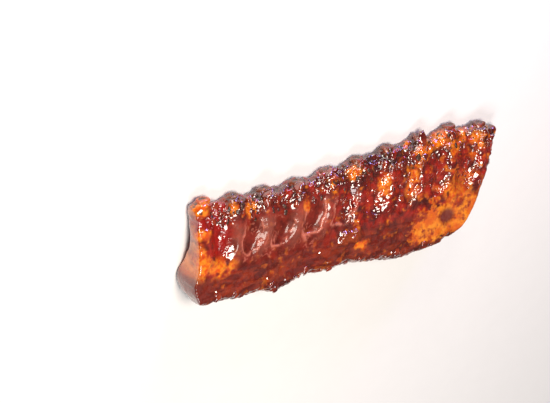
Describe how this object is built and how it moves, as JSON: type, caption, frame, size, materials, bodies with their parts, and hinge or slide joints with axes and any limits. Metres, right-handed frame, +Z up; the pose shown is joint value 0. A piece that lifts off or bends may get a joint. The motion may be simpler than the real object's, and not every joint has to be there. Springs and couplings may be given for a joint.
{
  "type": "rack of ribs",
  "caption": "Glazed barbecued rack of pork back ribs lying bone side up, thick loin roll on one long edge, rib bone tips along the other.",
  "frame": {"origin": "middle of the footprint, on the table under the rack", "axes": "+X along the rack from the straight-cut end to the slanted end, +Y across it from the loin roll to the bone tips, +Z up out of the bone side"},
  "size_m": [0.3051, 0.102, 0.034],
  "materials": {
    "glazed_meat": "roast meat under a wet, sticky red-brown glaze",
    "roasted_bone": "roasted bone, stained orange by the glaze"
  },
  "bodies": {
    "root": {"meat": "glazed_meat", "rib_bone_01": "roasted_bone", "rib_bone_02": "roasted_bone", "rib_bone_03": "roasted_bone", "rib_bone_04": "roasted_bone", "rib_bone_05": "roasted_bone", "rib_bone_06": "roasted_bone", "rib_bone_07": "roasted_bone", "rib_bone_08": "roasted_bone", "rib_bone_09": "roasted_bone", "rib_bone_10": "roasted_bone"}
  },
  "joints": []
}
